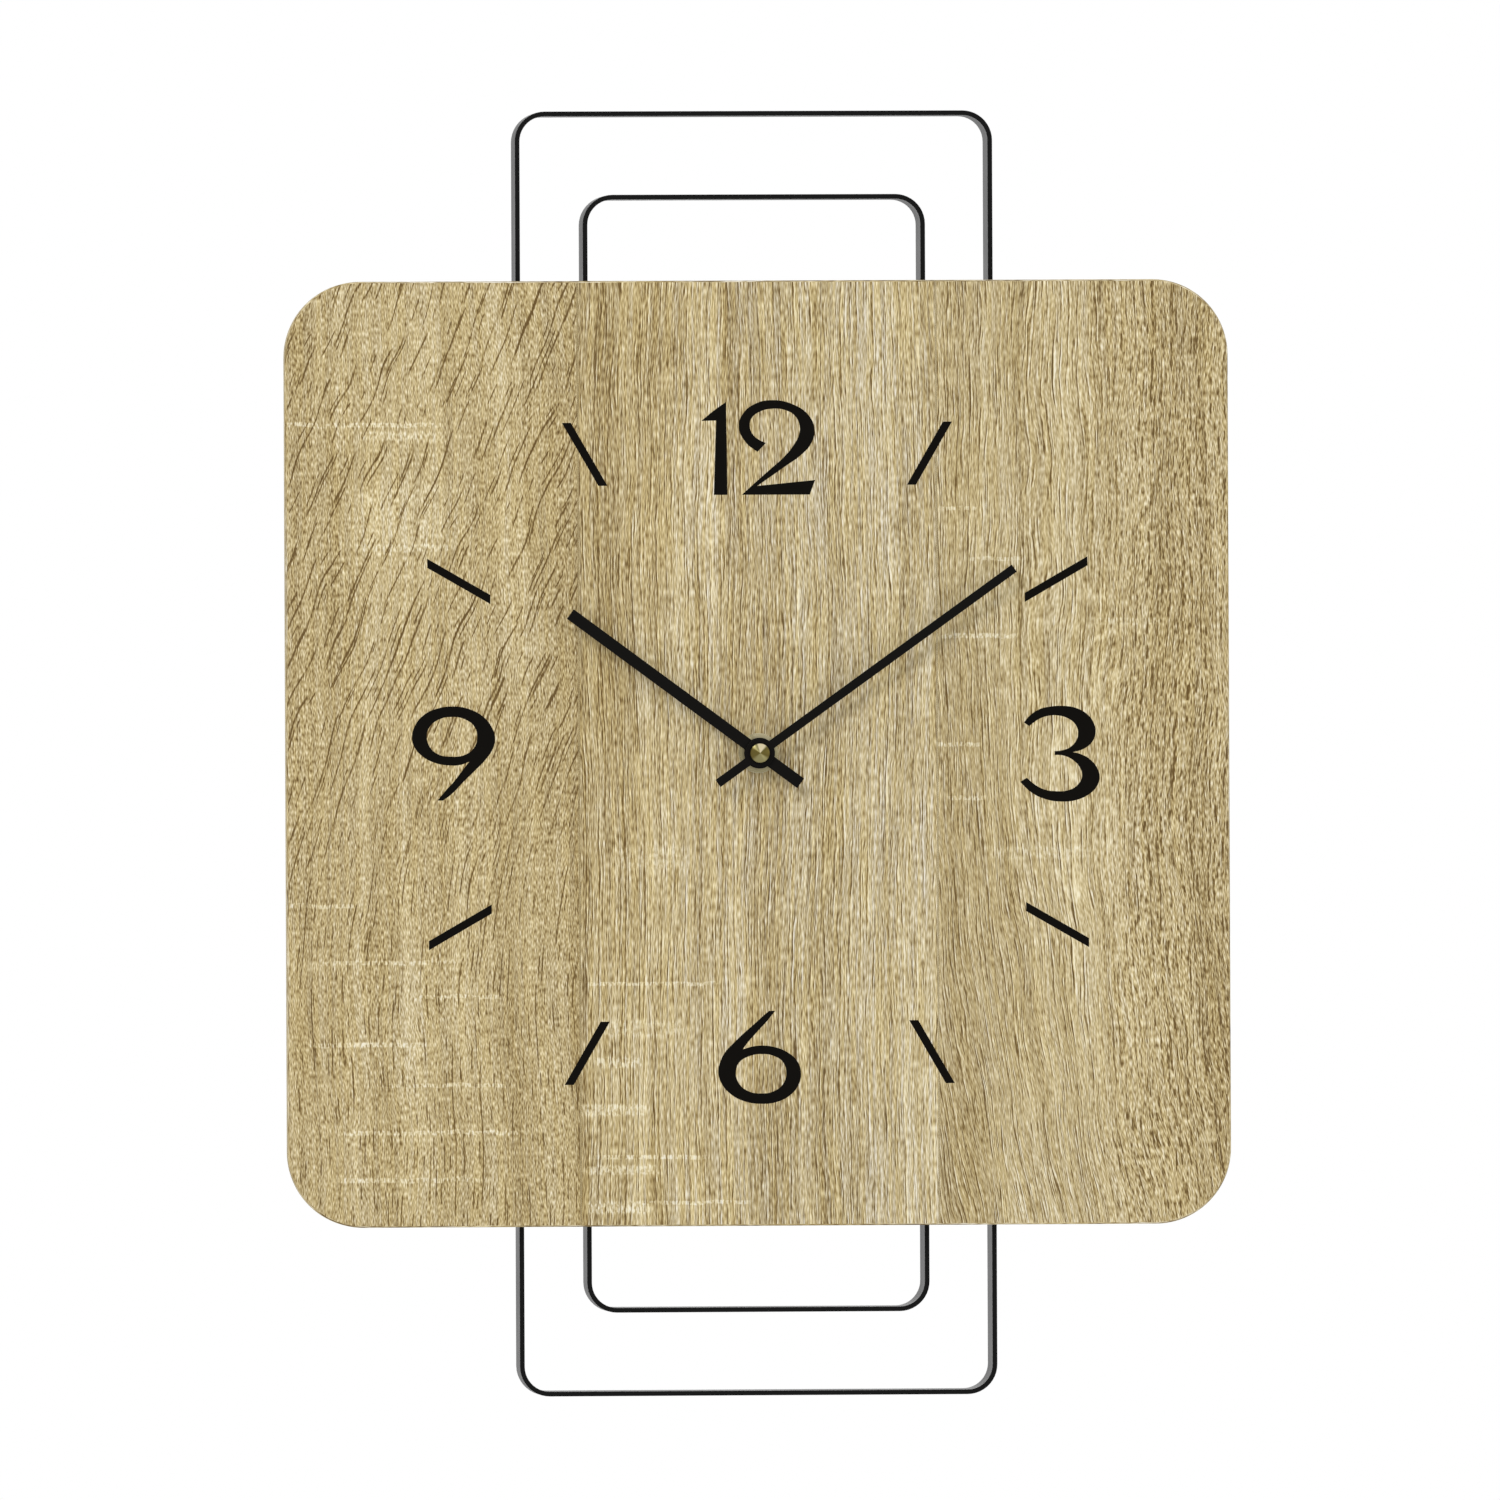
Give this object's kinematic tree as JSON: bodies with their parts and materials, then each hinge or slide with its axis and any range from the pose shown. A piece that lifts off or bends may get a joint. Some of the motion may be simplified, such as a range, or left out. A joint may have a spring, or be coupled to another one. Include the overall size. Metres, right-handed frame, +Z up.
{
  "type": "wall clock",
  "caption": "Wall clock: a square rounded dial panel on two nested upright band loops, with a quartz movement, hour and minute hands and a keyhole hanger behind.",
  "frame": {"origin": "middle of the hanger plate's keyhole entry, half way through its metal, where the clock hangs on its wall screw", "axes": "+X to the right of someone who reads the dial, +Z up, -Y out of the dial to the front, so +Y points to the wall"},
  "size_m": [0.3, 0.0383, 0.408],
  "materials": {
    "oak_decor": "printed oak decor on board, matt",
    "black_band": "black powder coat, satin",
    "black_bar": "black powder coat, satin",
    "screw_steel": "zinc plated",
    "zinc_steel": "zinc plated sheet",
    "washer_rubber": "matt",
    "washer_brass": "satin",
    "nut_brass": "turned",
    "bushing_brass": "turned",
    "collet_brass": "turned",
    "cap_brass": "turned, pale",
    "pipe_brass": "turned",
    "black_hand": "black lacquer, matt",
    "housing_plastic": "moulded, fine spark texture",
    "cover_plastic": "moulded, fine spark texture",
    "plate_plastic": "moulded",
    "gear_plastic": "moulded acetal",
    "knob_plastic": "moulded",
    "magnet": "sintered, matt",
    "soft_iron": "rolled sheet",
    "bobbin_plastic": "moulded",
    "copper_wire": "enamelled wire",
    "board_laminate": "solder resist",
    "chip_resin": "cast resin",
    "can_nickel": "drawn can",
    "contact_nickel": "nickel plated spring strip",
    "cell_jacket": "printed sleeve, plain"
  },
  "bodies": {
    "clock_frame": {"dial_panel": "oak_decor", "outer_band": "black_band", "inner_band": "black_band", "upper_crossbar": "black_bar", "lower_crossbar": "black_bar", "crossbar_screws": "screw_steel", "hanger_plate": "zinc_steel", "rubber_washer": "washer_rubber", "dial_washer": "washer_brass", "fixing_nut": "nut_brass", "threaded_bushing": "bushing_brass", "front_housing": "housing_plastic", "rear_cover": "cover_plastic", "middle_plate": "plate_plastic", "stator": "soft_iron", "coil_core": "soft_iron", "coil_bobbin": "bobbin_plastic", "coil_winding": "copper_wire", "coil_screws": "screw_steel", "circuit_board": "board_laminate", "clock_chip": "chip_resin", "quartz_crystal": "can_nickel", "positive_contact": "contact_nickel", "negative_contact": "contact_nickel"},
    "minute_works": {"minute_hand": "black_hand", "minute_nut": "cap_brass", "minute_pipe": "pipe_brass"},
    "hour_works": {"hour_hand": "black_hand", "hour_collet": "collet_brass", "hour_wheel": "gear_plastic"},
    "motion_wheel": {"motion_wheel": "gear_plastic"},
    "setting_knob": {"setting_knob": "knob_plastic"},
    "centre_wheel": {"centre_wheel": "gear_plastic"},
    "third_wheel": {"third_wheel": "gear_plastic"},
    "seconds_wheel": {"seconds_wheel": "gear_plastic"},
    "intermediate_wheel": {"intermediate_wheel": "gear_plastic"},
    "rotor": {"rotor_pinion": "gear_plastic", "rotor_magnet": "magnet"},
    "battery": {"battery_cell": "cell_jacket"}
  },
  "joints": [
    {"name": "minute_hand_turn", "type": "hinge", "parent": "clock_frame", "child": "minute_works", "pos_m": [0, 0, -0.0375], "axis": [0, 1, 0], "continuous": true},
    {"name": "hour_hand_turn", "type": "hinge", "parent": "clock_frame", "child": "hour_works", "pos_m": [0, 0, -0.0375], "axis": [0, 1, 0], "continuous": true},
    {"name": "motion_wheel_turn", "type": "hinge", "parent": "clock_frame", "child": "motion_wheel", "pos_m": [0.0048, 0, -0.02919], "axis": [0, 1, 0], "continuous": true},
    {"name": "setting_knob_turn", "type": "hinge", "parent": "clock_frame", "child": "setting_knob", "pos_m": [0.01311, 0, -0.02439], "axis": [0, 1, 0], "continuous": true},
    {"name": "rotor_turn", "type": "hinge", "parent": "clock_frame", "child": "rotor", "pos_m": [0.0139, 0, -0.03513], "axis": [0, 1, 0], "continuous": true},
    {"name": "intermediate_wheel_turn", "type": "hinge", "parent": "clock_frame", "child": "intermediate_wheel", "pos_m": [0.00846, 0, -0.04058], "axis": [0, 1, 0], "continuous": true},
    {"name": "seconds_wheel_turn", "type": "hinge", "parent": "clock_frame", "child": "seconds_wheel", "pos_m": [0, 0, -0.0375], "axis": [0, 1, 0], "continuous": true},
    {"name": "third_wheel_turn", "type": "hinge", "parent": "clock_frame", "child": "third_wheel", "pos_m": [-0.00883, 0, -0.0324], "axis": [0, 1, 0], "continuous": true},
    {"name": "centre_wheel_turn", "type": "hinge", "parent": "clock_frame", "child": "centre_wheel", "pos_m": [0, 0, -0.0375], "axis": [0, 1, 0], "continuous": true},
    {"name": "battery_slide", "type": "slide", "parent": "clock_frame", "child": "battery", "axis": [0, 1, 0], "range_m": [0, 0.03]}
  ],
  "couplings": [
    {"joint": "hour_hand_turn", "follows": "minute_hand_turn", "ratio": 0.083333},
    {"joint": "motion_wheel_turn", "follows": "minute_hand_turn", "ratio": -0.33333},
    {"joint": "setting_knob_turn", "follows": "minute_hand_turn", "ratio": 1},
    {"joint": "intermediate_wheel_turn", "follows": "rotor_turn", "ratio": -0.16667},
    {"joint": "seconds_wheel_turn", "follows": "rotor_turn", "ratio": 0.033333},
    {"joint": "third_wheel_turn", "follows": "rotor_turn", "ratio": -0.0044444},
    {"joint": "centre_wheel_turn", "follows": "rotor_turn", "ratio": 0.00055556}
  ]
}
